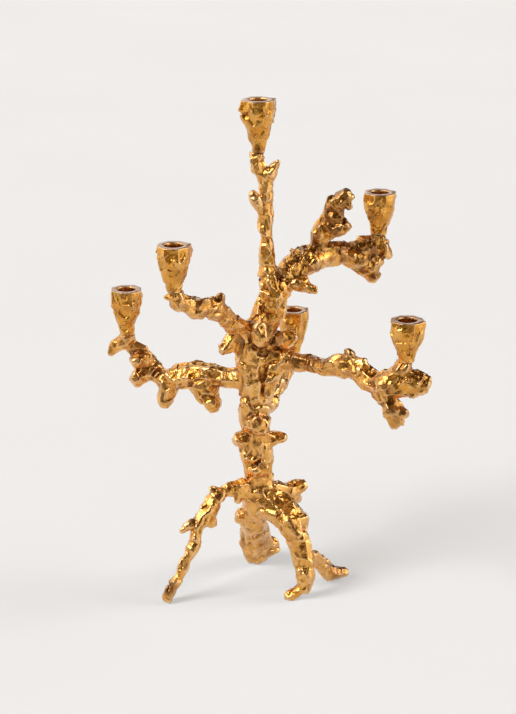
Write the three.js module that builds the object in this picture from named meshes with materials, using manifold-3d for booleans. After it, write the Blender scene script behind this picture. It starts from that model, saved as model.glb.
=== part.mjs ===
// A branching table candelabra for six candles: a knotty trunk on three legs, a centre stem and
// five arms, each carrying a candle cup. The castings are joined end to end on steel studs.
// Millimetres, +Z up, front towards -Y. The origin is on the table, under the middle of the
// object's bounding box.
import * as THREE from "three";
import { mergeVertices } from "three/addons/utils/BufferGeometryUtils.js";
import Module from "manifold-3d";

const wasm = await Module();
wasm.setup();

// Driving dimensions
const CANDLE_DIAMETER = 22; // a standard dinner candle
const BORE_RADIUS = CANDLE_DIAMETER / 2 + 0.4;
const BORE_DEPTH = 24;
const RIM_RADIUS = 18.6; // mean outer radius of a cup at its turned rim
const JOINT_GAP = 0.3; // between the faces of two joined castings
const STUD_CLEARANCE = 0.3; // around and beyond a stud in its hole
const STUDS = {
  large: { radius: 4, halfLength: 15 },
  medium: { radius: 3, halfLength: 11 },
  small: { radius: 2.5, halfLength: 9 },
};

// Fineness of the faceted surfaces
const RING_PITCH_PER_RADIUS = 1.2; // spacing of the rings along a limb, in limb radii
const SMALLEST_RING_PITCH = 8.5;
const CUP_SIDES = 18;
const STUD_SIDES = 8;
const DOME_RINGS = 1;
const FACET_ALLOWANCE = 1.04; // on a limb's radius, as flat facets lie inside its round section
const DOME_HEIGHT = 0.75; // of a limb's rounded end, in end radii

// Waves that make limbs and cups irregular: their share of the radius, how many lobes they have
// around the section, the length along it in which they turn by a radian, and how the seed shifts them.
const LIMB_WAVES = [
  { share: 0.08, lobes: 2, pitch: 12, phase: 1 },
  { share: 0.06, lobes: 3, pitch: -8, phase: 2 },
  { share: 0.05, lobes: 0, pitch: 5, phase: 3 },
];
const CUP_WAVES = [
  { share: 0.035, lobes: 3, pitch: Infinity, phase: 1 },
  { share: 0.03, lobes: 5, pitch: 9, phase: 2 },
];
const LIMB_SEED_STEP = 1.7; // between one limb's seed and the next
const CUP_SEED_STEP = 1.3;
const TINY = 0.01;

// Limbs: each is a list of stations [x, y, z, radius] that its rounded body runs through.
// x and y are measured from the trunk, z from the table.
const LIMBS = {
  // trunk, from the leg hub to the crown
  trunk: [[2, 0, 112, 19], [1, 0, 131, 17.5], [1, 0, 145, 16.5], [-1, 0, 161, 18.3], [-1, 0, 177, 18.3],
    [-1, 0, 195, 16.5], [-4, 0, 213, 19], [-4, 0, 231, 18.5]],
  trunk_bulb: [[-1, -10, 210, 15], [1, -22, 213, 13]],
  trunk_knob_left: [[-8, 0, 187, 12], [-22, -3, 187, 11]],
  trunk_knob_right: [[10, 0, 187, 11.5], [23, 0, 188, 9.5], [31, -2, 189, 5.5]],
  // crown, where the arms spring from
  crown: [[-4, 0, 210, 18], [-3, 0, 236, 18], [-5, 0, 262, 20.5], [-7, 0, 284, 20.5], [-5, 0, 306, 19.5],
    [0, 0, 328, 17]],
  crown_front_knob: [[0, -8, 314, 13], [2, -23, 327, 12]],
  crown_fold: [[22, -12, 288, 7], [17, -16, 272, 8.5], [13, -13, 250, 6.5]],
  crown_eye_boss: [[9, 0, 307, 13.5], [25, 4, 310, 12.5], [41, 4, 314, 8]],
  crown_stub_left: [[-17, 0, 306, 14], [-31, -12, 313, 11.5], [-42, -20, 308, 8]],
  // upper limb, leaning right from the crown up to the fork
  upper_limb: [[-1, 0, 314, 18], [6, 0, 332, 16.5], [15, 0, 351, 17.8], [20, 0, 371, 18.3],
    [16, 0, 390, 14.5]],
  // centre stem
  stem: [[14, 0, 383, 14], [11.5, 0, 400, 10.8], [10.5, 0, 417, 9.8], [9, 0, 434, 7.8], [8.6, 0, 456, 7.6],
    [7.8, 0, 476, 7], [9, 0, 494, 6.8], [9, 0, 507, 8.2], [3, 0, 518, 9], [-2, 0, 527, 8.8],
    [0, 0, 539, 7.6]],
  stem_spur: [[10, 0, 506, 6.5], [15, -3, 518, 7], [23, -6, 529, 2.6]],
  stem_fin: [[7, -4, 458, 3.8], [0, -5, 477, 4.8], [-6, -6, 491, 3.2]],
  // right high arm, with its side branch and stubs
  arm_right_high: [[24, 3, 373, 14], [41, 12, 395, 15.5], [54, 20, 402, 17], [66, 28, 404, 18.5], [80, 36, 407, 15.5],
    [95, 44, 407, 12], [110, 52, 401, 14.5], [122, 54, 393, 13.5], [133, 52, 384, 12], [140, 48, 378, 8.5]],
  arm_right_high_head: [[112, 53, 404, 12], [128, 58, 410, 14], [143, 60, 416, 12.5], [143.5, 60, 427, 11]],
  arm_right_high_chin: [[136, 55, 398, 11], [146, 54, 391, 8]],
  arm_right_high_lobe: [[139, 60, 411, 11.5], [150, 58, 407, 10], [156, 54, 400, 6]],
  arm_right_high_stub: [[42, 10, 386, 12.5], [55, -2, 380, 10], [68, -14, 375, 4]],
  arm_right_high_spur_upper: [[47, 12, 409, 5], [39, 4, 421, 2]],
  arm_right_high_spur_lower: [[40, 6, 399, 6], [31, 0, 410, 2.5]],
  side_branch: [[67, 26, 412, 12], [75, 24, 434, 10.5], [86, 20, 452, 15], [89, 17, 470, 13], [101, 12, 483, 10]],
  side_branch_lobe: [[90, 20, 444, 12.5], [102, 14, 449, 9.5]],
  side_branch_spur: [[97, 14, 477, 6.5], [107, 8, 473, 3.2]],
  // left high arm
  arm_left_high: [[-7, 0, 316, 16], [-20, -14, 329, 13.5], [-32, -30, 344, 11.5], [-44, -45, 360, 11],
    [-57, -60, 371, 12.3], [-71, -75, 375, 13.8], [-82, -85, 381, 11], [-91, -93, 389, 9.5], [-93.5, -95, 400, 8.5]],
  arm_left_high_horn: [[-47, -50, 367, 9.5], [-43, -50, 381, 4]],
  arm_left_high_spur: [[-94, -95, 394, 7.5], [-105, -98, 394, 3.2]],
  // left low arm
  arm_left_low: [[-10, 0, 262, 16], [-26, 6, 262, 13], [-40, 12, 261, 12.5], [-55, 18, 262, 14.5], [-72, 26, 261, 16],
    [-90, 34, 256, 14.5], [-107, 42, 247, 14], [-122, 49, 251, 11.2], [-134, 54, 263, 12], [-146, 58, 279, 11],
    [-158, 60, 291, 10], [-159, 60, 300, 9.6]],
  arm_left_low_tail: [[-157, 60, 292, 9.5], [-171, 62, 286, 8.3], [-181, 63, 275, 5.5]],
  arm_left_low_bulb: [[-136, 52, 268, 12], [-149, 46, 272, 11]],
  arm_left_low_lump: [[-134, 50, 255, 11], [-148, 44, 248, 11]],
  arm_left_low_finger: [[-107, 40, 243, 13], [-111, 36, 229, 10.5], [-114, 33, 218, 7.3]],
  arm_left_low_wedge: [[-65, 22, 249, 17.5], [-61, 16, 236, 14.5], [-53, 12, 225, 10.5]],
  // right low arm
  arm_right_low: [[12, 0, 293, 15], [30, -6, 290, 13], [44, -14, 290, 11], [58, -25, 291, 9.5], [70, -36, 292, 9.5],
    [84, -47, 293, 11], [99, -60, 297, 12], [111, -70, 299, 12], [124, -82, 294, 12], [137, -94, 288, 14],
    [152, -106, 294, 17.5], [166, -110, 298, 16], [177, -112, 298, 14], [187, -114, 296, 12]],
  arm_right_low_neck: [[160, -109, 300, 13.5], [165, -110, 313, 10.8], [168, -110, 322, 9]],
  arm_right_low_peak: [[101, -62, 300, 10], [106, -66, 316, 3.5]],
  arm_right_low_chin: [[172, -112, 292, 11], [175, -118, 284, 7.5]],
  arm_right_low_stub: [[142, -100, 284, 12.5], [149, -106, 272, 12], [154, -110, 260, 12.5], [157, -112, 248, 9.5]],
  arm_right_low_stub_bump: [[157, -110, 261, 8.5], [168, -116, 262, 5.2]],
  arm_right_low_stub_spur: [[159, -112, 252, 7.5], [166, -114, 247, 3.5]],
  // rear arm
  arm_rear: [[5, 8, 227, 15], [15, 30, 231, 12.5], [24, 60, 237, 12], [32, 95, 240, 12.5], [39, 125, 238, 11.5],
    [43, 142, 240, 10.5], [44, 145, 249, 9]],
  arm_rear_lump: [[27, 70, 240, 11], [30, 66, 254, 6.5]],
  arm_rear_tail: [[43, 140, 238, 9], [50, 153, 231, 5]],
  // leg hub and its broken-off root
  hub: [[3, -2, 124, 16], [0, 3, 104, 19], [-4, 12, 86, 16.5]],
  hub_root: [[7, 4, 121, 13.5], [26, 14, 114, 12], [42, 24, 109, 12], [55, 30, 114, 8.5]],
  hub_root_low: [[39, 26, 105, 10], [49, 40, 92, 7]],
  // left leg
  leg_left: [[-2, -3, 121, 15.5], [-22, -10, 126, 11.5], [-36, -16, 126, 8.3], [-48, -22, 123, 8.3],
    [-55.5, -28, 112, 9], [-63.5, -33, 100, 11.5], [-71, -38, 88, 9.5], [-75, -43, 75, 7.8], [-78, -47, 65, 7.5],
    [-84, -51, 54, 6], [-89, -54, 43, 6.3], [-94, -57, 32, 5.8], [-102, -60, 19, 7.2], [-111, -62, 4.5, 7.8]],
  leg_left_drop: [[-23, -12, 124, 9], [-25, -16, 113, 5.5]],
  leg_left_corner: [[-49, -22, 125, 7], [-57, -25, 131, 3]],
  leg_left_elbow: [[-63, -32, 99, 9.5], [-54, -30, 91, 7.5]],
  leg_left_spur: [[-73, -36, 93, 7], [-83, -42, 91, 6], [-92, -46, 86, 3.2]],
  // right leg and its side toe
  leg_right: [[5, -4, 114, 16.5], [23, -12, 102, 18], [40, -22, 92, 19.5], [45, -30, 79, 18], [51, -37, 65, 13.5],
    [54, -42, 53, 11.8], [55, -46, 39, 10.8], [59, -48, 25, 10.5], [52, -51, 11.5, 9.5], [38, -54, 4.5, 6.8]],
  leg_right_toe: [[56, -38, 53, 9.5], [68, -26, 41, 8.5], [80, -12, 24, 9], [91, -2, 11.5, 11.5],
    [107, 6, 8, 6.5]],
  // rear leg
  leg_rear: [[0, 4, 108, 15.5], [-5, 12, 90, 16.5], [-4, 24, 69, 16.5], [-4, 42, 46, 18], [0, 60, 14.5, 20.5]],
  leg_rear_lump: [[-7, 14, 80, 11.5], [-21, 10, 81, 10.5]],
  leg_rear_heel: [[5, 61, 18, 16], [18, 63, 17, 11.5]],
};

// Joints between castings: centre, axis, the radius that severs the limb, and the stud's size.
const JOINTS = {
  hub_trunk: { at: [1, 0, 143], axis: [0, 0, 1], reach: 22, stud: "large" },
  trunk_crown: { at: [-2, 0, 198.5], axis: [0, 0, 1], reach: 27, stud: "large" },
  crown_limb: { at: [5, 0, 341], axis: [0.47, 0, 0.88], reach: 26, stud: "large" },
  limb_stem: { at: [12, 0, 404], axis: [-0.05, 0, 1], reach: 16.5, stud: "medium" },
  limb_arm_right_high: { at: [50, 18, 400.5], axis: [0.84, 0.5, 0.22], reach: 23, stud: "medium" },
  arm_side_branch: { at: [72, 25, 429], axis: [0.36, -0.1, 0.93], reach: 14, stud: "small" },
  crown_arm_left_high: { at: [-27, -23.5, 338.5], axis: [-0.49, -0.65, 0.58], reach: 19, stud: "medium" },
  crown_arm_left_low: { at: [-35, 10, 261.5], axis: [-0.92, 0.39, -0.06], reach: 18, stud: "medium" },
  crown_arm_right_low: { at: [38, -10.5, 290], axis: [0.87, -0.5, 0], reach: 17, stud: "medium" },
  crown_arm_rear: { at: [17, 37, 232.5], axis: [0.3, 0.93, 0.2], reach: 19, stud: "medium" },
  hub_leg_left: { at: [-34, -15.2, 126], axis: [-0.92, -0.39, 0], reach: 13, stud: "small" },
  hub_leg_right: { at: [30, -17, 97], axis: [0.73, -0.46, -0.5], reach: 25, stud: "medium" },
  hub_leg_rear: { at: [-4.5, 20, 73], axis: [0.04, 0.46, -0.88], reach: 23, stud: "medium" },
};

// Candle cups: the middle of the foot's seat, the height from there to the turned rim, the radius
// of the neck and the radius halfway up.
const CUPS = {
  top: { seat: [0.3, 0, 539], height: 61, neck: 7.3, waist: 15.4 },
  right_high: { seat: [144.5, 60, 427], height: 50, neck: 10, waist: 17 },
  left_high: { seat: [-94.5, -95, 400], height: 54, neck: 8.3, waist: 16.2 },
  left_low: { seat: [-159, 60, 300], height: 57, neck: 8.8, waist: 14.2 },
  right_low: { seat: [168, -110, 322], height: 49, neck: 8.8, waist: 16.2 },
  rear: { seat: [44, 145, 250], height: 55, neck: 9.5, waist: 16 },
};
const RIM_BULGE = 0.6; // by which a cup swells below its rim
const CUP_STUD = STUDS.medium;
const SEAT_CUT = { radius: 12, height: 22 }; // clears the limb above a cup's seat

// Castings sawn from the tree of limbs, each with a point well inside it.
const CASTINGS = {
  leg_hub: [0, 2, 112],
  leg_left: [-64, -33, 100],
  leg_right: [52, -37, 65],
  leg_rear: [-3, 45, 42],
  trunk: [-1, 0, 172],
  crown: [-6, 0, 275],
  upper_limb: [14, 0, 362],
  centre_stem: [8, 0, 456],
  arm_right_high: [66, 28, 404],
  side_branch: [87, 20, 453],
  arm_left_high: [-57, -60, 371],
  arm_left_low: [-90, 34, 254],
  arm_right_low: [124, -82, 291],
  arm_rear: [36, 95, 240],
};

const BRASS = { color: 0xc98f3a, roughness: 0.28, metalness: 1 };
const STEEL = { color: 0x9a9da1, roughness: 0.4, metalness: 1 };

// --- Solids ---------------------------------------------------------------------------------

// A closed geometry as a manifold-3d solid.
function solid(geometry) {
  const bare = geometry.clone();
  bare.deleteAttribute("normal");
  bare.deleteAttribute("uv");
  const merged = mergeVertices(bare, 1e-4);
  const mesh = new wasm.Mesh({
    numProp: 3,
    vertProperties: new Float32Array(merged.attributes.position.array),
    triVerts: new Uint32Array(merged.index.array),
  });
  return new wasm.Manifold(mesh);
}

// A manifold-3d solid back as a geometry with flat faces.
function geometryOf(body) {
  const mesh = body.getMesh();
  const positions = new Float32Array(mesh.numVert * 3);
  for (let v = 0; v < mesh.numVert; v += 1) {
    const start = v * mesh.numProp;
    positions.set(mesh.vertProperties.subarray(start, start + 3), v * 3);
  }
  const indexed = new THREE.BufferGeometry();
  indexed.setAttribute("position", new THREE.BufferAttribute(positions, 3));
  indexed.setIndex(new THREE.BufferAttribute(mesh.triVerts, 1));
  const faceted = indexed.toNonIndexed();
  faceted.computeVertexNormals();
  return faceted;
}

// A solid of revolution about Z from [radius, height] pairs, listed bottom to top.
function turned(profile, sides) {
  const points = profile.map(([radius, height]) => new THREE.Vector2(radius, height));
  return new THREE.LatheGeometry(points, sides).rotateX(Math.PI / 2);
}

// Irregularity of a cast surface: a factor near 1 on the radius at a place along and around it.
function irregularity(waves, along, angle, seed) {
  const parts = waves.map(({ share, lobes, pitch, phase }) => (
    share * Math.sin(lobes * angle + along / pitch + phase * seed)));
  return 1 + parts.reduce((sum, part) => sum + part, 0);
}

// The rings of a rounded end as [radius, rise], from beside its widest ring to its tip.
function dome(radius) {
  const rings = [];
  for (let k = 1; k <= DOME_RINGS; k += 1) {
    const tilt = (k / (DOME_RINGS + 1)) * (Math.PI / 2);
    rings.push([radius * Math.cos(tilt), radius * DOME_HEIGHT * Math.sin(tilt)]);
  }
  return [...rings, [0, radius * DOME_HEIGHT]];
}

// A limb with rounded ends: a turned body of varying radius, bent along the curve of its stations.
function limb(stations, seed) {
  const centres = stations.map(([x, y, z]) => new THREE.Vector3(x, y, z));
  const radii = stations.map((station) => station[3]);
  const curve = new THREE.CatmullRomCurve3(centres, false, "centripetal");
  const length = curve.getLength();
  const meanRadius = radii.reduce((sum, r) => sum + r, 0) / radii.length;
  const pitch = Math.max(SMALLEST_RING_PITCH, RING_PITCH_PER_RADIUS * meanRadius);
  const steps = Math.max(2, Math.round(length / pitch));
  const sides = meanRadius > 13 ? 10 : 8;
  const frames = curve.computeFrenetFrames(steps, false);

  const radiusAt = (u) => {
    const place = curve.getUtoTmapping(u) * (radii.length - 1);
    const before = Math.min(Math.floor(place), radii.length - 2);
    return THREE.MathUtils.lerp(radii[before], radii[before + 1], place - before);
  };

  // Rings as [radius, distance along], from one rounded end to the other.
  const body = [];
  for (let i = 0; i <= steps; i += 1) body.push([radiusAt(i / steps), (i / steps) * length]);
  const startDome = dome(radii[0]).map(([radius, rise]) => [radius, -rise]).reverse();
  const endDome = dome(radii[radii.length - 1]).map(([radius, rise]) => [radius, length + rise]);
  const geometry = turned([...startDome, ...body, ...endDome], sides);
  const position = geometry.attributes.position;
  const vertex = new THREE.Vector3();
  for (let v = 0; v < position.count; v += 1) {
    vertex.fromBufferAttribute(position, v);
    const along = vertex.z;
    const clamped = THREE.MathUtils.clamp(along, 0, length);
    const frame = Math.round((clamped / length) * steps);
    const centre = curve.getPointAt(clamped / length);
    centre.addScaledVector(frames.tangents[frame], along - clamped);
    const factor = FACET_ALLOWANCE * irregularity(LIMB_WAVES, along, Math.atan2(vertex.y, vertex.x), seed);
    centre.addScaledVector(frames.normals[frame], vertex.x * factor);
    centre.addScaledVector(frames.binormals[frame], vertex.y * factor);
    position.setXYZ(v, centre.x, centre.y, centre.z);
  }
  return geometry;
}

// Rotation that carries +Z onto an axis.
function turnTo(axis) {
  const direction = new THREE.Vector3(...axis).normalize();
  return new THREE.Quaternion().setFromUnitVectors(new THREE.Vector3(0, 0, 1), direction);
}

function placed(geometry, at, axis) {
  const matrix = new THREE.Matrix4().compose(
    new THREE.Vector3(...at), turnTo(axis), new THREE.Vector3(1, 1, 1));
  return geometry.applyMatrix4(matrix);
}

// The saw kerf across a limb, with the stud's blind holes on both sides of it.
function jointCut({ at, axis, reach, stud }) {
  const { radius, halfLength } = STUDS[stud];
  const hole = radius + STUD_CLEARANCE;
  const end = halfLength + STUD_CLEARANCE;
  const half = JOINT_GAP / 2;
  const profile = [[0, -end], [hole, -end], [hole, -half], [reach, -half], [reach, half], [hole, half],
    [hole, end], [0, end]];
  return placed(turned(profile, STUD_SIDES), at, axis);
}

// The flat seat under a cup, with the stud's blind hole below it.
function seatCut({ seat }) {
  const hole = CUP_STUD.radius + STUD_CLEARANCE;
  const end = CUP_STUD.halfLength + STUD_CLEARANCE;
  const profile = [[0, -end], [hole, -end], [hole, 0], [SEAT_CUT.radius, 0], [SEAT_CUT.radius, SEAT_CUT.height],
    [0, SEAT_CUT.height]];
  return placed(turned(profile, STUD_SIDES), seat, [0, 0, 1]);
}

function tableCut() {
  const size = 1000;
  return new THREE.BoxGeometry(size, size, size).translate(0, 0, -size / 2);
}

// A threaded stud, modelled as a plain rod with chamfered ends.
function studGeometry({ radius, halfLength }) {
  const chamfer = 0.8;
  const profile = [[0, -halfLength], [radius - chamfer, -halfLength], [radius, chamfer - halfLength],
    [radius, halfLength - chamfer], [radius - chamfer, halfLength], [0, halfLength]];
  return turned(profile, STUD_SIDES);
}

// A goblet-shaped cup: a round bore in a thick, irregular wall that narrows to a neck.
function cupGeometry({ height, neck, waist }, seed) {
  const outline = new THREE.SplineCurve([
    [neck, JOINT_GAP], [neck + 0.4, 0.1 * height], [0.55 * neck + 0.45 * waist, 0.28 * height],
    [waist, 0.5 * height], [RIM_RADIUS, 0.68 * height], [RIM_RADIUS + RIM_BULGE, 0.85 * height],
    [RIM_RADIUS, height],
  ].map(([radius, z]) => new THREE.Vector2(radius, z)));
  const outside = outline.getPoints(7).map(({ x, y }) => [x, y]);
  const floor = height - BORE_DEPTH;
  const hole = CUP_STUD.radius + STUD_CLEARANCE;
  const holeEnd = CUP_STUD.halfLength + STUD_CLEARANCE;
  const profile = [[0, holeEnd], [hole, holeEnd], [hole, JOINT_GAP], ...outside,
    [BORE_RADIUS, height], [BORE_RADIUS, floor], [0, floor]];
  const geometry = turned(profile, CUP_SIDES);
  const position = geometry.attributes.position;
  for (let v = 0; v < position.count; v += 1) {
    const x = position.getX(v);
    const y = position.getY(v);
    const radius = Math.hypot(x, y);
    const z = position.getZ(v);
    const inBore = Math.abs(radius - BORE_RADIUS) < TINY && z > floor - TINY;
    if (radius < hole + TINY || inBore) continue;
    const factor = irregularity(CUP_WAVES, z, Math.atan2(y, x), seed);
    position.setXY(v, x * factor, y * factor);
  }
  return geometry;
}

// --- Assembly -------------------------------------------------------------------------------

function meshOf(name, geometry, look) {
  const mesh = new THREE.Mesh(geometry, new THREE.MeshStandardMaterial(look));
  mesh.name = name;
  return mesh;
}

// The whole tree of limbs, cut flat at the table, then sawn and drilled into castings.
function castings() {
  const bodies = Object.values(LIMBS).map((stations, i) => solid(limb(stations, LIMB_SEED_STEP * i)));
  const tree = bodies.reduce((sum, body) => sum.add(body));
  const cuts = [tableCut(), ...Object.values(JOINTS).map(jointCut), ...Object.values(CUPS).map(seatCut)];
  const pieces = cuts.map(solid).reduce((body, cut) => body.subtract(cut), tree).decompose();
  const group = new THREE.Group();
  for (const [name, inside] of Object.entries(CASTINGS)) {
    const probe = solid(new THREE.BoxGeometry(1, 1, 1).translate(...inside));
    const found = pieces.find((piece) => piece.intersect(probe).volume() > 0);
    if (!found) throw new Error("no casting holds the point of " + name);
    group.add(meshOf(name, geometryOf(found), BRASS));
  }
  if (pieces.length !== Object.keys(CASTINGS).length) {
    throw new Error("the tree was sawn into " + pieces.length + " castings");
  }
  return group;
}

function jointStuds() {
  const group = new THREE.Group();
  for (const [name, { at, axis, stud }] of Object.entries(JOINTS)) {
    const mesh = meshOf("stud_" + name, studGeometry(STUDS[stud]), STEEL);
    mesh.position.set(...at);
    mesh.quaternion.copy(turnTo(axis));
    group.add(mesh);
  }
  return group;
}

function cupsAndStuds() {
  const group = new THREE.Group();
  Object.entries(CUPS).forEach(([name, cup], i) => {
    const place = new THREE.Group();
    place.position.set(...cup.seat);
    place.add(meshOf("cup_" + name, cupGeometry(cup, CUP_SEED_STEP * i), BRASS));
    place.add(meshOf("stud_cup_" + name, studGeometry(CUP_STUD), STEEL));
    group.add(place);
  });
  return group;
}

const candelabra = new THREE.Group();
candelabra.add(castings(), jointStuds(), cupsAndStuds());

// Centre the bounding box over the origin.
const box = new THREE.Box3().setFromObject(candelabra, true);
const middle = box.getCenter(new THREE.Vector3());
candelabra.position.set(-middle.x, -middle.y, 0);

export default candelabra;
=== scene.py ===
# The looks of a branching table candelabra in crumpled, polished brass.
# Lengths are in metres, apart from the tables of places below. The front is towards -Y and up is +Z.
import math

import bpy
import numpy as np
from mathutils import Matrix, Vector
from mathutils.kdtree import KDTree


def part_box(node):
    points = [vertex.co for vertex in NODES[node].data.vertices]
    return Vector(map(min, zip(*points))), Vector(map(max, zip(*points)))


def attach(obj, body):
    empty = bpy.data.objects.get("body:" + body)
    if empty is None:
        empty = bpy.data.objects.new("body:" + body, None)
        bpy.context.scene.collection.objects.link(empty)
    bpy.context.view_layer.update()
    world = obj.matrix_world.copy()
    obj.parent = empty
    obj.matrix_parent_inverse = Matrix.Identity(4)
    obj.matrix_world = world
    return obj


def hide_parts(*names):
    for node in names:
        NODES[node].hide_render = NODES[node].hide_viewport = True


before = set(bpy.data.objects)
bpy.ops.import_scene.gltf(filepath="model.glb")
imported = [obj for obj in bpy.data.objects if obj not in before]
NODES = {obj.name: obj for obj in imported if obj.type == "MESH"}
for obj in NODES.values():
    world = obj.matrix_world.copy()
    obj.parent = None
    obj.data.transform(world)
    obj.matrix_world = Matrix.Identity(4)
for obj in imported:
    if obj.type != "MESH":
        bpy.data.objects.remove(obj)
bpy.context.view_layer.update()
MM = 0.001

CASTINGS = [
    "leg_hub", "leg_left", "leg_right", "leg_rear", "trunk", "crown", "upper_limb", "centre_stem",
    "arm_right_high", "side_branch", "arm_left_high", "arm_left_low", "arm_right_low", "arm_rear",
]
CUPS = sorted(name for name in NODES if name.startswith("cup_"))
CUP_STUDS = sorted(name for name in NODES if name.startswith("stud_cup_"))
JOINT_STUDS = sorted(name for name in NODES if name.startswith("stud_") and name not in CUP_STUDS)

# Fineness
VOXEL = 1.0 * MM
CUP_SIDES = 220
CUP_ROWS = 130
BORE_ROWS = 12
KERF_SIDES = 48
SEAT_SIDES = 32

# Rounds of smoothing
LIMB_ROUNDS = 36  # round off the CAD facets
CREASE_ROUNDS = 10  # even out a fine crease, to measure it
NOOK_ROUNDS = 50  # even out a notch between two limbs, to measure it
OUTLINE_ROUNDS = 40  # along a cup's outline

# Joints
KERF = 0.08 * MM  # the closed seam between two castings
KERF_MARGIN = 4.0 * MM  # by which a kerf reaches past the CAD limb
SAW_FACE = 0.16 * MM  # half the gap between two CAD castings, and a little
WIDEST_LIMB = 30 * MM  # radius, beyond which a face is another limb's
SEAT_GAP = 0.2 * MM  # between a cup's foot and the casting under it
SEAT_CUT_RADIUS = 15 * MM
SEAT_CUT_HEIGHT = 22 * MM
SCRAP = 400  # a loose part of fewer points is a crumb of the sawing
VOTERS = 60  # about how many points decide which casting a sawn part is
STUD_OFFSET = 1 * MM  # of the lowest joint's stud, to the right of the trunk's axis

# Cups
BORE_RADIUS = 11.2 * MM
BORE_DEPTH = 24.0 * MM
FLOOR_EDGE = 1.2 * MM  # the width of the small slope round the bore's floor
DIMPLE_RADIUS = 4 * MM  # of the middle of the bore's floor, which lies a little deeper
DIMPLE_DEPTH = 0.5 * MM
RIM_CHAMFER = 0.35 * MM
LEAST_WALL = 2.4 * MM
SLIMMEST_NECK = 6 * MM  # outside radius, more than a stud hole's
RIM_CORNERS = 8
RIM_UNEVENNESS = 0.05  # how much nearer the axis some sides of the rim lie, as a share of the radius
RIM_SWAY = 0.55  # how unevenly the sides are spaced, as a share of the spacing
CUP_SMOOTHNESS = 0.3
CUP_SEED_STEP = 80  # between one cup's seed and the next

# How the facets are drawn out: a number below 1 makes them longer in that direction
FACET_STRETCH = np.array([1.0, 1.0, 0.8])
CUP_STRETCH = np.array([1.0, 1.0, 0.7])

# How much more crumpled than the rest some castings are
CRUMPLED = {
    "upper_limb": 0.3, "side_branch": 0.4, "arm_right_high": 0.1, "centre_stem": -0.35, "trunk": -0.25,
    "crown": -0.15, "leg_hub": -0.25, "leg_left": -0.2, "leg_right": -0.2, "leg_rear": -0.35,
    "arm_left_low": -0.2, "arm_right_low": -0.15,
}
BOX_BLEND = 6 * MM  # over which a casting's crumpling gives way to its neighbour's
LEAST_CRUMPLING = 0.15

# The tables of places are in millimetres: x and y from the trunk's axis, and z from the table.
# Smooth spots: a centre and a radius
SMOOTH_SPOTS = [
    ((4, -24, 322), 20), ((28, -4, 306), 18), ((52, -20, 291), 24), ((-10, -16, 268), 26),
    ((0, -26, 213), 20), ((62, 20, 386), 18), ((-30, -25, 335), 12), ((152, -106, 294), 16),
]

# How far dark brown covers some castings, the other castings and the cups: patina in blotches, and on
# the castings painted shade, heavier on the upper and front faces
PATINA_AND_SHADE = {
    "side_branch": 1.2, "arm_right_high": 1.0, "arm_left_high": 0.6, "arm_left_low": 0.4,
    "arm_right_low": 0.6, "leg_rear": 0.6, "arm_rear": 0.5,
}
OTHER_PATINA_AND_SHADE = 0.25
CUP_PATINA = 0.35

# Dark brown spots, painted shade in pits, creases and hollows with some stains: a centre and a radius
STAIN_AND_SHADE_SPOTS = [
    ((25, -7, 394), 12), ((-11, -12, 334), 9), ((-64, -83, 386), 11), ((-45, -56, 379), 10),
    ((60, -35, 300), 22), ((97, 14, 460), 24), ((98, 10, 482), 20), ((4, -16, 158), 9),
    ((-76, -42, 98), 12), ((-108, -66, 22), 16), ((98, -9, 20), 20), ((-2, -9, 542), 11),
    ((7, -17, 300), 12), ((-7, -22, 225), 8), ((9, -21, 223), 8), ((21, -8, 317), 15),
]

# Sculpted strokes: a path, the stroke's half width, and how far it stands out, or with a minus
# sign goes in
STROKES = [
    # the crown's front fold, the crease on its left, the hollow on its right and the pit under it
    ([(6, -20, 338), (0, -23, 332), (0, -24, 320), (8, -23, 308), (16, -18, 300)], 5, 2.2),
    ([(-6, -16, 344), (-9, -18, 326), (-7, -19, 306)], 2.6, -3.0),
    ([(12, -16, 334), (14, -18, 320)], 5, -2.0),
    ([(5, -20, 301), (8, -19, 299)], 3.6, -6),
    # draped folds on the crown's front, and the crease under them
    ([(30, -12, 292), (20, -17, 284), (14, -18, 270), (13, -17, 250), (10, -17, 236)], 5, 2.6),
    ([(7, -12, 286), (8, -14, 264)], 5, 2.5),
    ([(-18, -12, 286), (-10, -18, 262), (-4, -19, 240)], 4.5, 1.8),
    ([(-4, -19, 288), (-2, -20, 268), (0, -19, 246)], 3.5, 1.6),
    ([(-11, -17, 240), (-3, -20, 232)], 3.5, -3.0),
    # pits over the trunk's front bulb, and flutes below it
    ([(-11, -20, 225), (-5, -23, 226)], 2.6, -3.0),
    ([(6, -23, 225), (10, -20, 222)], 2.8, -3.0),
    ([(-4, -17, 198), (-3, -18, 184), (-2, -17, 172)], 2.6, -1.6),
    ([(7, -17, 198), (8, -17, 184), (7, -17, 174)], 2.6, -1.6),
    # folds and creases round the trunk
    ([(-17, -8, 170), (-8, -16, 164), (1, -18, 168)], 3.2, 2.6),
    ([(3, -18, 163), (6, -17, 154)], 3.4, -2.2),
    ([(-14, -10, 155), (-2, -18, 150), (12, -13, 156)], 2.6, 2.0),
    ([(-16, -6, 146), (-4, -17, 142), (12, -13, 143)], 2.0, -1.6),
    # hump on the right low arm, and the web of the stem's fin
    ([(88, -52, 306), (98, -60, 310), (105, -65, 312), (116, -74, 309)], 8, 4.0),
    ([(4, -4, 468), (0, -5, 484)], 6, 3.0),
]

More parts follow.
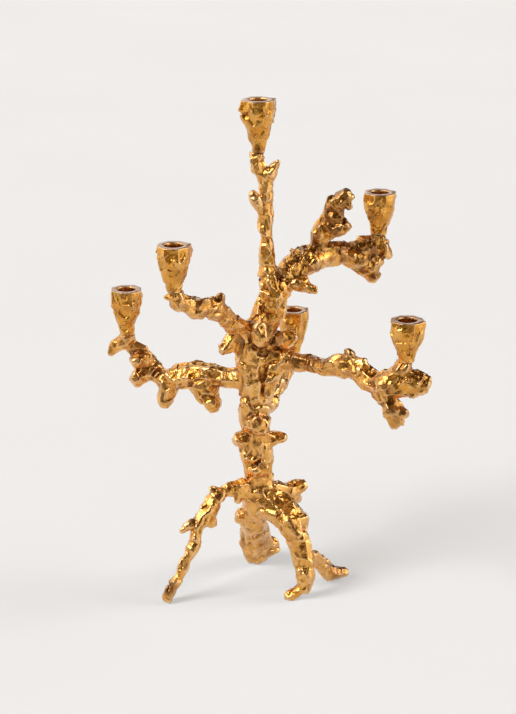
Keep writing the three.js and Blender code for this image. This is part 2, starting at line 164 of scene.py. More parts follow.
# Brass: its own colours from cloud to cloud, then what tints it, in this order: a layer of the
# surface, its value where the tint starts, its value where the tint is full, how strong it then is,
# and its colour.
BRASS_TONES = [(0.35, (0.66, 0.28, 0.022)), (0.5, (0.74, 0.345, 0.042)), (0.65, (0.80, 0.43, 0.09))]
TINTS = [
    ("smooth", 0.45, 1, 0.55, (0.81, 0.44, 0.15)),  # rosy where it is smooth
    ("hollow", -0.1, -0.6, 0.5, (0.88, 0.62, 0.33)),  # painted highlight on the ridges, with some wear
    ("hollow", 0.1, 0.5, 0.6, (0.28, 0.115, 0.02)),  # painted shade in fine creases, with some brown patina
    ("nook", 0.2, 1.8, 0.9, (0.2, 0.085, 0.02)),  # painted shade in the notches between limbs
    # patina, and the painted shade on upper and front faces and in pits
    ("patina_and_shade", 0.1, 0.8, 0.85, (0.19, 0.068, 0.012)),
    ("turned", 0, 1, 1, (0.58, 0.37, 0.25)),  # pinker on the turned rims
]
STEEL_TONES = [(0.3, (0.45, 0.46, 0.48)), (0.7, (0.6, 0.61, 0.63))]

# Studio
FLOOR_REACH = 30  # in each direction from the middle
FLOOR_COLOUR = (0.82, 0.835, 0.85)
SHEET_LOW = (-2.2, -0.6)
SHEET_HIGH = (2.2, 5)
SHEET_LIFT = 0.3 * MM
SHEET_COLOUR = (0.86, 0.85, 0.84)
ROOM_TONES = [(0.41, (0.06, 0.03, 0.01)), (0.47, (0.22, 0.17, 0.11)), (0.53, (1.0, 0.99, 0.98))]
ROOM_BRIGHTNESS = 1.36
CAMERA_LENS = 100.8403  # in millimetres, on a frame 36 mm high
CAMERA_PITCH = 18.4  # degrees downwards
CAMERA_DISTANCE = 2.256  # in front of the trunk
CAMERA_HEIGHT = 1.041


# --- Noise ----------------------------------------------------------------------------------

def hashed(ix, iy, iz, seed):
    """Pseudo-random numbers from 0 to 1, one for each cell of a whole-number grid."""
    mask = np.uint64(0xFFFFFFFF)
    h = ix.astype(np.int64) * 73856093
    h ^= iy.astype(np.int64) * 19349663
    h ^= iz.astype(np.int64) * 83492791
    h = (h ^ (seed * 2654435761)).astype(np.uint64) & mask
    h = ((h ^ (h >> np.uint64(15))) * np.uint64(2246822519)) & mask
    h = ((h ^ (h >> np.uint64(13))) * np.uint64(3266489917)) & mask
    h = h ^ (h >> np.uint64(16))
    return h.astype(np.float64) / float(0xFFFFFFFF)


def noise(points, size, seed):
    """Smooth gradient noise, about -1 to 1, whose lumps are size across."""
    p = points / size + 37.3
    cell = np.floor(p).astype(np.int64)
    f = p - cell
    blend = f * f * f * (f * (f * 6 - 15) + 10)
    total = np.zeros(len(p))
    for corner in range(8):
        step = np.array([corner & 1, corner >> 1 & 1, corner >> 2 & 1])
        c = cell + step
        angle = 2 * math.pi * hashed(c[:, 0], c[:, 1], c[:, 2], seed)
        z = 2 * hashed(c[:, 0], c[:, 1], c[:, 2], seed + 101) - 1
        ring = np.sqrt(1 - z * z)
        d = f - step
        slope = d[:, 0] * ring * np.cos(angle) + d[:, 1] * ring * np.sin(angle) + d[:, 2] * z
        weight = np.prod(np.where(step == 1, blend, 1 - blend), axis=1)
        total += weight * slope
    return total * 1.6


def warped(points, size, amount, seed):
    """The points pushed about by noise, so that what is drawn at them flows and folds."""
    pushes = [noise(points, size, seed + k) for k in range(3)]
    return points + amount * np.stack(pushes, axis=1)


def folds(points, size, seed):
    """Sharp valleys between rounded swellings: 0 in a crease, towards 1 on a swelling."""
    return np.minimum(1, 2.2 * np.abs(noise(points, size, seed)))


def facets(points, size, seed, sharpness):
    """A surface of small tilted planes, as in crumpled foil, about -1 to 1."""
    p = points / size + 11.7
    cell = np.floor(p).astype(np.int64)
    total = np.zeros(len(p))
    weights = np.zeros(len(p))
    for dx in (-1, 0, 1):
        for dy in (-1, 0, 1):
            for dz in (-1, 0, 1):
                c = cell + np.array([dx, dy, dz])
                jitter = [hashed(c[:, 0], c[:, 1], c[:, 2], seed + k) for k in range(3)]
                tilt = [2 * hashed(c[:, 0], c[:, 1], c[:, 2], seed + 7 + k) - 1 for k in range(3)]
                d = p - c - np.stack(jitter, axis=1)
                lift = hashed(c[:, 0], c[:, 1], c[:, 2], seed + 17) - 0.5
                plane = (d * np.stack(tilt, axis=1)).sum(axis=1) + 0.2 * lift
                weight = np.exp(-sharpness * np.linalg.norm(d, axis=1))
                total += weight * plane
                weights += weight
    return total / np.maximum(weights, 1e-12)


# --- Meshes ---------------------------------------------------------------------------------

def points_of(mesh):
    co = np.empty(len(mesh.vertices) * 3)
    mesh.vertices.foreach_get("co", co)
    return co.reshape(-1, 3)


def normals_of(mesh):
    no = np.empty(len(mesh.vertices) * 3)
    mesh.vertex_normals.foreach_get("vector", no)
    return no.reshape(-1, 3)


def edges_of(mesh):
    ends = np.empty(len(mesh.edges) * 2, np.int64)
    mesh.edges.foreach_get("vertices", ends)
    return ends.reshape(-1, 2)


def set_points(mesh, points):
    mesh.vertices.foreach_set("co", np.ascontiguousarray(points).ravel())
    mesh.update()


def new_mesh(name, verts, faces):
    mesh = bpy.data.meshes.new(name)
    mesh.from_pydata(verts, [], faces)
    mesh.update()
    return mesh


def new_object(name, mesh):
    obj = bpy.data.objects.new(name, mesh)
    bpy.context.scene.collection.objects.link(obj)
    return obj


def evaluated(obj):
    """The object's mesh with its modifiers worked out."""
    graph = bpy.context.evaluated_depsgraph_get()
    graph.update()
    return bpy.data.meshes.new_from_object(obj.evaluated_get(graph))


def joined(name, objects):
    """One mesh that holds all the objects' faces."""
    verts, faces, start = [], [], 0
    for obj in objects:
        points = points_of(obj.data)
        verts.extend(map(tuple, points))
        faces.extend([start + v for v in poly.vertices] for poly in obj.data.polygons)
        start += len(points)
    return new_object(name, new_mesh(name, verts, faces))


def loose_parts(mesh):
    """For each vertex, the number of the connected part that it belongs to."""
    label = np.arange(len(mesh.vertices))
    ends = edges_of(mesh)
    while True:
        low = np.minimum(label[ends[:, 0]], label[ends[:, 1]])
        before = label.copy()
        np.minimum.at(label, ends[:, 0], low)
        np.minimum.at(label, ends[:, 1], low)
        label = label[label]
        if np.array_equal(before, label):
            break
    return np.unique(label, return_inverse=True)[1]


def part_of_mesh(name, mesh, keep):
    """A new mesh of the connected parts whose vertices are kept."""
    points = points_of(mesh)
    index = np.cumsum(keep) - 1
    faces = []
    for poly in mesh.polygons:
        corners = poly.vertices
        if keep[corners[0]]:
            faces.append([int(index[v]) for v in corners])
    return new_mesh(name, points[keep].tolist(), faces)


def smoothed(points, ends, rounds, pull=0.5, push=-0.52):
    """
    Moves the points towards the middle of their neighbours by the pull, then by the push. With a push
    below 0, which is away again, facets and junctions are rounded off and limbs keep their girth.
    """
    count = np.bincount(ends.ravel(), minlength=len(points)).astype(float)
    for _ in range(rounds):
        for amount in (pull, push):
            mean = np.empty_like(points)
            for axis in range(3):
                total = np.bincount(ends[:, 0], weights=points[ends[:, 1], axis], minlength=len(points))
                total += np.bincount(ends[:, 1], weights=points[ends[:, 0], axis], minlength=len(points))
                mean[:, axis] = total / count
            points = points + amount * (mean - points)
    return points


def add_layer(mesh, name, values):
    layer = mesh.attributes.new(name, "FLOAT", "POINT")
    layer.data.foreach_set("value", np.asarray(values, np.float32))


def hollows(mesh, rounds):
    """How far each point lies below (above 0) or above (below 0) the surface around it, in mm."""
    points = points_of(mesh)
    around = smoothed(points, edges_of(mesh), rounds, 0.5, 0.5)
    return ((around - points) * normals_of(mesh)).sum(axis=1) / MM


# --- Castings -------------------------------------------------------------------------------

def trunk_base():
    """The point of the table on the trunk's axis."""
    low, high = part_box("stud_hub_trunk")
    return np.array([(low.x + high.x) / 2 - STUD_OFFSET, (low.y + high.y) / 2, 0])


def stroke_height(points, path, half_width, rise):
    """How far a stroke along the path moves each point."""
    path = trunk_base() + np.array(path, float) * MM
    points = warped(points, size=11 * MM, amount=2.5 * MM, seed=50)
    nearest = np.full(len(points), np.inf)
    for start, end in zip(path[:-1], path[1:]):
        run = end - start
        share = np.clip((points - start) @ run / (run @ run), 0, 1)
        nearest = np.minimum(nearest, np.linalg.norm(points - start - share[:, None] * run, axis=1))
    return rise * MM * np.exp(-((nearest / (half_width * MM)) ** 2))


def remeshed_tree():
    """All the castings as one even, closed skin."""
    tree = joined("tree", [NODES[name] for name in CASTINGS])
    remesh = tree.modifiers.new("even", "REMESH")
    remesh.mode = "VOXEL"
    remesh.voxel_size = VOXEL
    mesh = evaluated(tree)
    bpy.data.objects.remove(tree)
    part = loose_parts(mesh)
    outer = np.bincount(part).argmax()
    return part_of_mesh("tree", mesh, part == outer)


def inside(points, name):
    """1 well inside a node's box and 0 outside it."""
    low, high = (np.array(corner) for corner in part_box(name))
    near = np.minimum(points - low + BOX_BLEND, high + BOX_BLEND - points).min(axis=1)
    return np.clip(near / (2 * BOX_BLEND), 0, 1)


def ball(points, centre, radius):
    """1 around a centre in millimetres from the trunk's foot, and 0 beyond the radius."""
    away = np.linalg.norm(points - trunk_base() - np.array(centre) * MM, axis=1)
    return np.clip(1.6 - 1.6 * away / (radius * MM), 0, 1)


def crumpling(points, normals):
    """How crumpled the cast surface is at each point, up to 1: a little more on the upper faces."""
    rough = 0.4 + 0.8 * noise(points, 30 * MM, seed=5) + 0.2 * normals[:, 2]
    for name, amount in CRUMPLED.items():
        rough += amount * inside(points, name)
    for centre, radius in SMOOTH_SPOTS:
        rough -= ball(points, centre, radius)
    return np.clip(rough, LEAST_CRUMPLING, 1)


def creased(points, size, seed):
    """Swellings with creases between them that go a little deeper than the swellings rise."""
    return folds(points, size, seed) - 0.6


def crumpled(points, normals):
    """The cast surface: lumps, folds, foil facets and fine crinkles, moved along the normals."""
    rough = crumpling(points, normals)
    flow = warped(points, size=24 * MM, amount=8 * MM, seed=20)
    fine = warped(points * FACET_STRETCH, size=9 * MM, amount=2.5 * MM, seed=30)
    broad_facets = facets(flow, size=15 * MM, seed=3, sharpness=22)
    small_facets = facets(fine, size=7.5 * MM, seed=4, sharpness=24)
    crinkles = facets(fine, size=4 * MM, seed=9, sharpness=22)
    relief = 2.0 * MM * noise(points, size=25 * MM, seed=1)
    relief += 0.9 * MM * creased(flow, size=18 * MM, seed=2) * (0.5 + 0.5 * rough)
    relief += 4.2 * MM * broad_facets * (0.6 + 0.4 * rough)
    relief += 1.2 * MM * small_facets * (0.1 + 0.9 * rough)
    relief += 0.6 * MM * crinkles * rough
    for path, half_width, rise in STROKES:
        relief += stroke_height(points, path, half_width, rise)
    return points + normals * relief[:, None]


def joint_axis(stud):
    """The middle of a stud and the direction that it runs in."""
    points = points_of(NODES[stud].data)
    centre = (points.min(axis=0) + points.max(axis=0)) / 2
    values, vectors = np.linalg.eigh(np.cov((points - centre).T))
    gap = values[1] - values[0] < values[2] - values[1]
    axis = vectors[:, 2] if gap else vectors[:, 0]
    return centre, axis / np.linalg.norm(axis)


def prism_faces(start, sides):
    """The faces of a prism whose vertices are numbered from start, round its bottom and then its top."""
    bottom = [start + k for k in range(sides)]
    top = [corner + sides for corner in bottom]
    faces = [bottom[::-1], top]
    for k in range(sides):
        after = (k + 1) % sides
        faces.append([bottom[k], bottom[after], top[after], top[k]])
    return faces


def circle(sides):
    """Directions all round, as cosine and sine."""
    turns = [2 * math.pi * k / sides for k in range(sides)]
    return [(math.cos(turn), math.sin(turn)) for turn in turns]


def kerf_corners(centre, axis, reach):
    """The corners of a thin disc across an axis."""
    rotation = Vector((0, 0, 1)).rotation_difference(Vector(axis)).to_matrix()
    corners = []
    for z in (-KERF / 2, KERF / 2):
        for x, y in circle(KERF_SIDES):
            corner = reach * Vector((x, y, 0)) + Vector((0, 0, z))
            corners.append(Vector(centre) + rotation @ corner)
    return corners


def saw_blades():
    """A thin disc through each joint, just wide enough to part the two castings there."""
    cad = np.concatenate([points_of(NODES[name].data) for name in CASTINGS])
    verts, faces = [], []
    for stud in JOINT_STUDS:
        centre, axis = joint_axis(stud)
        offset = cad - centre
        along = offset @ axis
        radial = np.linalg.norm(offset - along[:, None] * axis, axis=1)
        on_face = (np.abs(along) < SAW_FACE) & (radial < WIDEST_LIMB)
        reach = float(radial[on_face].max())
        faces += prism_faces(len(verts), KERF_SIDES)
        verts += kerf_corners(centre, axis, reach + KERF_MARGIN)
    return new_object("saw", new_mesh("saw", verts, faces))


def seat_cutters():
    """What clears the flat seat under each cup."""
    verts, faces = [], []
    for name in CUPS:
        low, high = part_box(name)
        seat = Vector(((low.x + high.x) / 2, (low.y + high.y) / 2, low.z - SEAT_GAP))
        faces += prism_faces(len(verts), SEAT_SIDES)
        for z in (0, SEAT_CUT_HEIGHT):
            for x, y in circle(SEAT_SIDES):
                verts.append(seat + Vector((SEAT_CUT_RADIUS * x, SEAT_CUT_RADIUS * y, z)))
    return new_object("seats", new_mesh("seats", verts, faces))


def cut(obj, cutter):
    """Takes the cutter out of the object, and deletes it."""
    boolean = obj.modifiers.new("cut", "BOOLEAN")
    boolean.operation = "DIFFERENCE"
    boolean.solver = "MANIFOLD"
    boolean.object = cutter
    mesh = evaluated(obj)
    obj.modifiers.clear()
    obj.data = mesh
    bpy.data.objects.remove(cutter)


def cast_tree():
    """All the castings with their surface, parted by the saw but still one object."""
    mesh = remeshed_tree()
    set_points(mesh, smoothed(points_of(mesh), edges_of(mesh), LIMB_ROUNDS))
    points = crumpled(points_of(mesh), normals_of(mesh))
    points[:, 2] = np.maximum(points[:, 2], 0)
    set_points(mesh, points)
    tree = new_object("tree", mesh)
    cut(tree, seat_cutters())
    cut(tree, saw_blades())
    return tree


def cad_search():
    """The casting that each CAD vertex belongs to, and a search for the nearest vertex."""
    names, points = [], []
    for name in CASTINGS:
        co = points_of(NODES[name].data)
        names += [name] * len(co)
        points += co.tolist()
    search = KDTree(len(points))
    for k, point in enumerate(points):
        search.insert(Vector(point), k)
    search.balance()
    return names, search


def nearest_casting(points, names, search):
    """The casting whose CAD surface is nearest to most of the points."""
    votes = {}
    for point in points[:: max(1, len(points) // VOTERS)]:
        name = names[search.find(Vector(point))[1]]
        votes[name] = votes.get(name, 0) + 1
    return max(votes, key=votes.get)


def patina_and_shade(points, amount):
    """Dark brown in blotches, as much as the amount says, and in the spots. The blotches are patina;
    where the amount grows on upper and front faces it is painted shade, and the spots are painted shade
    in pits and hollows, with some stains.
    """
    blotches = np.clip(0.5 + 1.3 * noise(points, 14 * MM, seed=40), 0, 1)
    brown = amount * blotches
    for centre, radius in STAIN_AND_SHADE_SPOTS:
        brown = np.maximum(brown, ball(points, centre, radius) * (0.65 + 0.35 * blotches))
    return brown


def finish_layers(mesh, name):
    """What the material needs to know of a casting's surface."""
    points, normals = points_of(mesh), normals_of(mesh)
    add_layer(mesh, "hollow", hollows(mesh, CREASE_ROUNDS))
    add_layer(mesh, "nook", hollows(mesh, NOOK_ROUNDS))
    add_layer(mesh, "smooth", 1 - crumpling(points, normals))
    # painted shade: upper and front faces are darker, where they mirror the dark room
    top_and_front_shade = np.clip(0.55 + 0.7 * normals[:, 2] - 0.45 * normals[:, 1], 0, 1)
    add_layer(mesh, "patina_and_shade", patina_and_shade(points, PATINA_AND_SHADE.get(name, OTHER_PATINA_AND_SHADE) * top_and_front_shade))


def make_castings(material):
    names, search = cad_search()
    tree = cast_tree()
    part = loose_parts(tree.data)
    points = points_of(tree.data)
    sizes = np.bincount(part)
    made = set()
    for number in np.argsort(-sizes):
        name = nearest_casting(points[part == number], names, search)
        if sizes[number] < SCRAP or name in made:
            print("loose part of", sizes[number], "points near", name, "left out")
            continue
        mesh = part_of_mesh("brass_" + name, tree.data, part == number)
        mesh.shade_smooth()
        finish_layers(mesh, name)
        obj = new_object("brass_" + name, mesh)
        obj.data.materials.append(material)
        obj.visible_diffuse = False
        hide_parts(name)
        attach(obj, "root")
        made.add(name)
    bpy.data.objects.remove(tree)
    missing = set(CASTINGS) - made
    if missing:
        raise RuntimeError(f"no casting was made for {sorted(missing)}")


# --- Cups -----------------------------------------------------------------------------------

def cup_outline(cad):
    """Radius of a cup's outside at each height from its foot, before it is crumpled."""
    radial = np.hypot(cad[:, 0], cad[:, 1])
    levels = np.round(cad[:, 2] / MM, 1)
    heights, radii = [], []
    bore_floor = (cad[:, 2].max() - BORE_DEPTH) / MM - 1
    for level in np.unique(levels):
        ring = radial[levels == level]
        least = BORE_RADIUS + 1 * MM if level > bore_floor else SLIMMEST_NECK
        if ring.max() > least:
            outside = ring[ring > 0.85 * ring.max()]
            heights.append(level * MM)
            radii.append(outside.mean())
    rows = np.linspace(0, cad[:, 2].max(), CUP_ROWS)
    smooth = np.interp(rows, heights, radii)
    for _ in range(OUTLINE_ROUNDS):
        smooth[1:-1] = (smooth[:-2] + 2 * smooth[1:-1] + smooth[2:]) / 4
    return rows, smooth


def polygon(turn, seed):
    """An uneven polygon with straight sides, as a share of the circle's radius in each direction."""
    corner = np.arange(RIM_CORNERS)
    zero = 0 * corner
    sway = hashed(corner, zero, zero, seed) - 0.5
    depth = 1 - RIM_UNEVENNESS + RIM_UNEVENNESS * hashed(corner, zero, zero, seed + 1)
    facing = 2 * math.pi * (corner + RIM_SWAY * sway) / RIM_CORNERS
    across = np.cos(turn[:, None] - facing[None, :])
    return np.where(across > 0.5, depth / np.maximum(across, 0.5), np.inf).min(axis=1)


def hewn(points, seed):
    """How far a cup's outside stands out or in at each point, before it is calmed."""
    flow = warped(points * CUP_STRETCH, size=16 * MM, amount=4 * MM, seed=seed + 60)
    fine = warped(points, size=7 * MM, amount=2 * MM, seed=seed + 70)
    relief = 0.8 * MM * noise(points, size=17 * MM, seed=seed + 61)
    relief += 2.9 * MM * facets(flow, size=11 * MM, seed=seed + 63, sharpness=24)
    relief += 0.7 * MM * creased(flow, size=10 * MM, seed=seed + 62)
    relief += 0.5 * MM * facets(fine, size=4.5 * MM, seed=seed + 65, sharpness=22)
    return relief


def ring_at(radius, z, turn):
    """Points round the cup's axis at a height."""
    return np.stack([radius * np.cos(turn), radius * np.sin(turn), z + 0 * turn], axis=1)


def cup_wall(cad, middle, seed, turn):
    """The outside of a cup as rings of points: round at the foot, many-sided at the rim, and hewn."""
    rows, radii = cup_outline(cad)
    height = rows[-1]
    sided = np.clip((rows / height - 0.35) / 0.4, 0, 1)[:, None]  # fully so from 3/4 of the height
    radius = radii[:, None] * (1 + sided * (polygon(turn, seed)[None, :] - 1))
    upright = np.broadcast_to(rows[:, None], radius.shape)
    plain = np.stack([radius * np.cos(turn), radius * np.sin(turn), upright], axis=-1)
    relief = hewn(plain.reshape(-1, 3) + middle, seed).reshape(radius.shape)
    relief *= np.clip(rows / (6 * MM), 0.3, 1)[:, None]  # calmer at the foot
    relief *= np.clip((height - rows) / (10 * MM), 0.2, 1)[:, None]  # and under the rim
    radius = radius + relief
    beside_bore = rows[:, None] > height - BORE_DEPTH - 3 * MM
    radius = np.where(beside_bore, np.maximum(radius, BORE_RADIUS + LEAST_WALL), radius)
    return [ring_at(r, z, turn) for r, z in zip(radius, rows)]


def rim_and_bore(edge, height, turn):
    """The rings from the wall's top edge over the flat rim and down the bore."""
    spread = np.hypot(edge[:, 0], edge[:, 1])
    flat_rim = edge * (1 - RIM_CHAMFER / spread)[:, None]
    flat_rim[:, 2] = height
    floor = height - BORE_DEPTH
    levels = np.linspace(height - RIM_CHAMFER, floor + RIM_CHAMFER, BORE_ROWS)
    bore = [(BORE_RADIUS + RIM_CHAMFER, height)]
    bore += [(BORE_RADIUS, z) for z in levels]
    bore += [(BORE_RADIUS - FLOOR_EDGE, floor), (DIMPLE_RADIUS, floor - DIMPLE_DEPTH)]
    return [flat_rim] + [ring_at(radius, z, turn) for radius, z in bore]


def closed_rings(rings):
    """Vertices and faces of the surface through all the rings, closed at both ends."""
    sides = len(rings[0])
    verts = np.concatenate(rings).tolist()
    faces = []
    for r in range(len(rings) - 1):
        a, b = r * sides, (r + 1) * sides
        for k in range(sides):
            after = (k + 1) % sides
            faces.append([a + k, a + after, b + after, b + k])
    last = (len(rings) - 1) * sides
    bottom, top = len(verts), len(verts) + 1
    verts += [[0, 0, rings[0][0, 2]], [0, 0, rings[-1][0, 2]]]
    for k in range(sides):
        after = (k + 1) % sides
        faces.append([after, k, bottom])
        faces.append([last + k, last + after, top])
    return np.array(verts), faces


def make_cup(name, seed, material):
    low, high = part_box(name)
    seat = name.replace("cup_", "stud_cup_")
    stud_low, stud_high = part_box(seat)
    middle = np.array([(stud_low.x + stud_high.x) / 2, (stud_low.y + stud_high.y) / 2, low.z])
    cad = points_of(NODES[name].data) - middle
    height = high.z - low.z
    turn = np.linspace(0, 2 * math.pi, CUP_SIDES, endpoint=False)
    wall = cup_wall(cad, middle, seed, turn)
    wall[-1][:, 2] -= RIM_CHAMFER
    verts, faces = closed_rings(wall + rim_and_bore(wall[-1], height, turn))
    mesh = new_mesh("brass_" + name, (verts + middle).tolist(), faces)
    mesh.shade_smooth()
    on_top = verts[:, 2] > height - 0.5 * RIM_CHAMFER
    rim = on_top & (np.hypot(verts[:, 0], verts[:, 1]) > BORE_RADIUS)
    add_layer(mesh, "hollow", np.where(rim, 0, hollows(mesh, CREASE_ROUNDS)))
    add_layer(mesh, "nook", np.zeros(len(verts)))
    add_layer(mesh, "smooth", np.where(rim, 0, CUP_SMOOTHNESS))
    # patina in blotches, and the spots of painted shade
    add_layer(mesh, "patina_and_shade", patina_and_shade(verts + middle, CUP_PATINA) * ~rim)
    add_layer(mesh, "turned", rim)
    cup = new_object("brass_" + name, mesh)
    cup.data.materials.append(material)
    cup.visible_diffuse = False
    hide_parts(name)
    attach(cup, "root")


# --- Materials ------------------------------------------------------------------------------

def node_material(name):
    material = bpy.data.materials.new(name)
    material.use_nodes = True
    nodes = material.node_tree.nodes
    return material, nodes, material.node_tree.links, nodes["Principled BSDF"]


def add_noise(nodes, links, coords, scale, detail, roughness=0.5):
    made = nodes.new("ShaderNodeTexNoise")
    made.inputs["Scale"].default_value = scale
    made.inputs["Detail"].default_value = detail
    made.inputs["Roughness"].default_value = roughness
    links.new(coords, made.inputs["Vector"])
    return made.outputs["Fac"]


def add_ramp(nodes, links, source, stops):
    ramp = nodes.new("ShaderNodeValToRGB")
    elements = ramp.color_ramp.elements
    while len(elements) < len(stops):
        elements.new(0.5)
    for element, (place, colour) in zip(elements, stops):
        element.position = place
        element.color = (*colour, 1)
    links.new(source, ramp.inputs["Fac"])
    return ramp.outputs["Color"]


def add_mix(nodes, links, amount, first, second):
    """What the first socket gives where the amount is 0, and the second colour where it is 1."""
    mix = nodes.new("ShaderNodeMix")
    mix.data_type = "RGBA"
    links.new(amount, mix.inputs["Factor"])
    links.new(first, mix.inputs["A"])
    mix.inputs["B"].default_value = (*second, 1)
    return mix.outputs["Result"]


def add_range(nodes, links, source, low, high, to_low=0.0, to_high=1.0):
    """The source with low to high stretched to the new range, and held there beyond it."""
    span = nodes.new("ShaderNodeMapRange")
    span.inputs["From Min"].default_value = low
    span.inputs["From Max"].default_value = high
    span.inputs["To Min"].default_value = to_low
    span.inputs["To Max"].default_value = to_high
    links.new(source, span.inputs["Value"])
    return span.outputs["Result"]


def add_layer_value(nodes, name):
    layer = nodes.new("ShaderNodeAttribute")
    layer.attribute_name = name
    return layer.outputs["Fac"]


def add_creases(nodes, links, coords):
    """A net of fine wandering creases: 0 in a crease and 1 away from it."""
    wander = nodes.new("ShaderNodeTexNoise")
    wander.inputs["Scale"].default_value = 150
    wander.inputs["Detail"].default_value = 3
    links.new(coords, wander.inputs["Vector"])
    moved = nodes.new("ShaderNodeVectorMath")
    moved.operation = "MULTIPLY_ADD"
    moved.inputs[1].default_value = (12 * MM, 12 * MM, 12 * MM)
    links.new(wander.outputs["Color"], moved.inputs[0])
    links.new(coords, moved.inputs[2])
    cells = nodes.new("ShaderNodeTexVoronoi")
    cells.feature = "DISTANCE_TO_EDGE"
    cells.inputs["Scale"].default_value = 110
    links.new(moved.outputs["Vector"], cells.inputs["Vector"])
    return add_range(nodes, links, cells.outputs["Distance"], 0, 0.2)


def add_bump(nodes, links, height, strength, under=None):
    bump = nodes.new("ShaderNodeBump")
    bump.inputs["Strength"].default_value = strength
    bump.inputs["Distance"].default_value = 0.6 * MM
    links.new(height, bump.inputs["Height"])
    if under:
        links.new(under, bump.inputs["Normal"])
    return bump.outputs["Normal"]


def brass_material():
    """Cast brass: golden where crumpled, rosy where smooth, a painted highlight on ridges, painted shade
    with some brown patina in creases and between limbs, and dark brown under the patina and its painted
    shade.
    """
    material, nodes, links, shader = node_material("cast_brass")
    coords = nodes.new("ShaderNodeTexCoord").outputs["Object"]
    clouds = add_noise(nodes, links, coords, scale=60, detail=5)
    colour = add_ramp(nodes, links, clouds, BRASS_TONES)
    for layer, start, full, strength, tint in TINTS:
        amount = add_range(nodes, links, add_layer_value(nodes, layer), start, full, 0, strength)
        colour = add_mix(nodes, links, amount, colour, tint)
    links.new(colour, shader.inputs["Base Color"])
    shader.inputs["Metallic"].default_value = 1.0
    shader.inputs["Coat Weight"].default_value = 0.4
    shader.inputs["Coat Roughness"].default_value = 0.15
    patches = add_noise(nodes, links, coords, scale=110, detail=5)
    sheen = add_range(nodes, links, patches, 0.3, 0.7, to_low=0.17, to_high=0.33)
    matt = nodes.new("ShaderNodeMath")  # the turned rims are more matt
    matt.operation = "MULTIPLY_ADD"
    matt.inputs[1].default_value = 0.2
    links.new(add_layer_value(nodes, "turned"), matt.inputs[0])
    links.new(sheen, matt.inputs[2])
    links.new(matt.outputs["Value"], shader.inputs["Roughness"])
    grain = add_noise(nodes, links, coords, scale=420, detail=7, roughness=0.62)
    grainy = add_bump(nodes, links, grain, strength=0.5)
    net = add_creases(nodes, links, coords)
    wrinkled = add_bump(nodes, links, net, strength=0.25, under=grainy)
    links.new(wrinkled, shader.inputs["Normal"])
    return material


def steel_material():
    material, nodes, links, shader = node_material("stud_steel")
    coords = nodes.new("ShaderNodeTexCoord").outputs["Object"]
    marks = add_noise(nodes, links, coords, scale=300, detail=3)
    links.new(add_ramp(nodes, links, marks, STEEL_TONES), shader.inputs["Base Color"])
    shader.inputs["Metallic"].default_value = 1.0
    shader.inputs["Roughness"].default_value = 0.35
    return material


def pale_material(name, colour):
    material, nodes, links, shader = node_material(name)
    coords = nodes.new("ShaderNodeTexCoord").outputs["Object"]
    tone = add_noise(nodes, links, coords, scale=1.5, detail=2)
    dim = tuple(0.98 * part for part in colour)
    links.new(add_ramp(nodes, links, tone, [(0.3, dim), (0.7, colour)]), shader.inputs["Base Color"])
    shader.inputs["Roughness"].default_value = 0.9
    shader.inputs["Specular IOR Level"].default_value = 0.1
    return material


# --- Studio ---------------------------------------------------------------------------------

def make_camera():
    data = bpy.data.cameras.new("camera")
    data.sensor_width = 36
    data.lens = CAMERA_LENS
    camera = bpy.data.objects.new("camera", data)
    bpy.context.scene.collection.objects.link(camera)
    trunk_low, trunk_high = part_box("stud_hub_trunk")
    trunk = (trunk_low + trunk_high) / 2
    camera.location = (trunk.x - STUD_OFFSET, trunk.y - CAMERA_DISTANCE, CAMERA_HEIGHT)
    camera.rotation_euler = (math.pi / 2 - math.radians(CAMERA_PITCH), 0, 0)
    bpy.context.scene.camera = camera


def flat_sheet(name, low, high, z, material):
    corners = [(low[0], low[1], z), (high[0], low[1], z), (high[0], high[1], z), (low[0], high[1], z)]
    sheet = new_object(name, new_mesh(name, corners, [[0, 1, 2, 3]]))
    sheet.data.materials.append(material)
    return sheet


def make_floor():
    """A wide pale floor, and on it the smaller white sheet that the brass mirrors instead."""
    pale = pale_material("pale_floor", FLOOR_COLOUR)
    floor = flat_sheet("floor", (-FLOOR_REACH, -FLOOR_REACH), (FLOOR_REACH, FLOOR_REACH), 0, pale)
    floor.visible_glossy = False
    white = pale_material("sheet", SHEET_COLOUR)
    sheet = flat_sheet("table_sheet", SHEET_LOW, SHEET_HIGH, SHEET_LIFT, white)
    sheet.visible_camera = False
    sheet.visible_diffuse = False
    sheet.visible_shadow = False


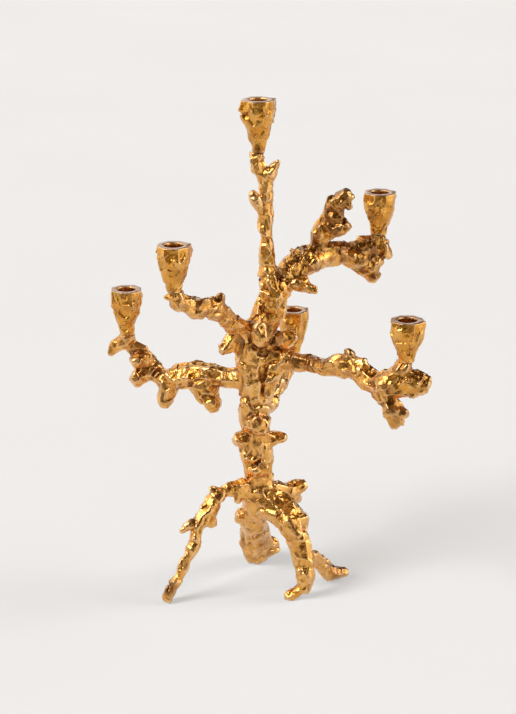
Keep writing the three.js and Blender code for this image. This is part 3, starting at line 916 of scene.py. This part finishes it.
def wide_sun(name, azimuth, elevation, spread, strength, colour):
    """
    A soft, distant light. All angles are in degrees: azimuth 0 is from the front and 90 from the
    right, and the spread is the light's width.
    """
    data = bpy.data.lights.new(name, "SUN")
    data.angle = math.radians(spread)
    data.energy = strength
    data.color = colour
    light = bpy.data.objects.new(name, data)
    bpy.context.scene.collection.objects.link(light)
    turn, rise = math.radians(azimuth), math.radians(elevation)
    level = math.cos(rise)
    towards = Vector((math.sin(turn) * level, -math.cos(turn) * level, math.sin(rise)))
    light.rotation_euler = towards.to_track_quat("Z", "Y").to_euler()


def make_world():
    """A pale room whose brightness varies softly from one direction to the next."""
    world = bpy.data.worlds.new("studio")
    bpy.context.scene.world = world
    world.use_nodes = True
    nodes, links = world.node_tree.nodes, world.node_tree.links
    directions = nodes.new("ShaderNodeTexCoord").outputs["Generated"]
    patches = nodes.new("ShaderNodeTexNoise")
    patches.noise_dimensions = "4D"
    patches.inputs["W"].default_value = 8.0
    patches.inputs["Scale"].default_value = 1.2
    patches.inputs["Detail"].default_value = 2.0
    links.new(directions, patches.inputs["Vector"])
    bias = nodes.new("ShaderNodeVectorMath")  # a little darker overhead
    bias.operation = "DOT_PRODUCT"
    bias.inputs[1].default_value = (0, 0, -0.03)
    links.new(directions, bias.inputs[0])
    place = nodes.new("ShaderNodeMath")
    links.new(patches.outputs["Fac"], place.inputs[0])
    links.new(bias.outputs["Value"], place.inputs[1])
    tone = add_ramp(nodes, links, place.outputs["Value"], ROOM_TONES)
    links.new(tone, nodes["Background"].inputs["Color"])
    nodes["Background"].inputs["Strength"].default_value = ROOM_BRIGHTNESS


def make_lights():
    wide_sun("window_left", azimuth=-62, elevation=40, spread=30, strength=1.6, colour=(1, 0.98, 0.96))
    wide_sun("fill_right", azimuth=100, elevation=32, spread=28, strength=0.8, colour=(1, 0.97, 0.95))
    bpy.context.scene.view_settings.view_transform = "Standard"


make_camera()
make_floor()
make_world()
make_lights()
brass = brass_material()
steel = steel_material()
for name in JOINT_STUDS + CUP_STUDS:
    NODES[name].data.materials.clear()
    NODES[name].data.materials.append(steel)
make_castings(brass)
for number, name in enumerate(CUPS):
    make_cup(name, CUP_SEED_STEP * number, brass)
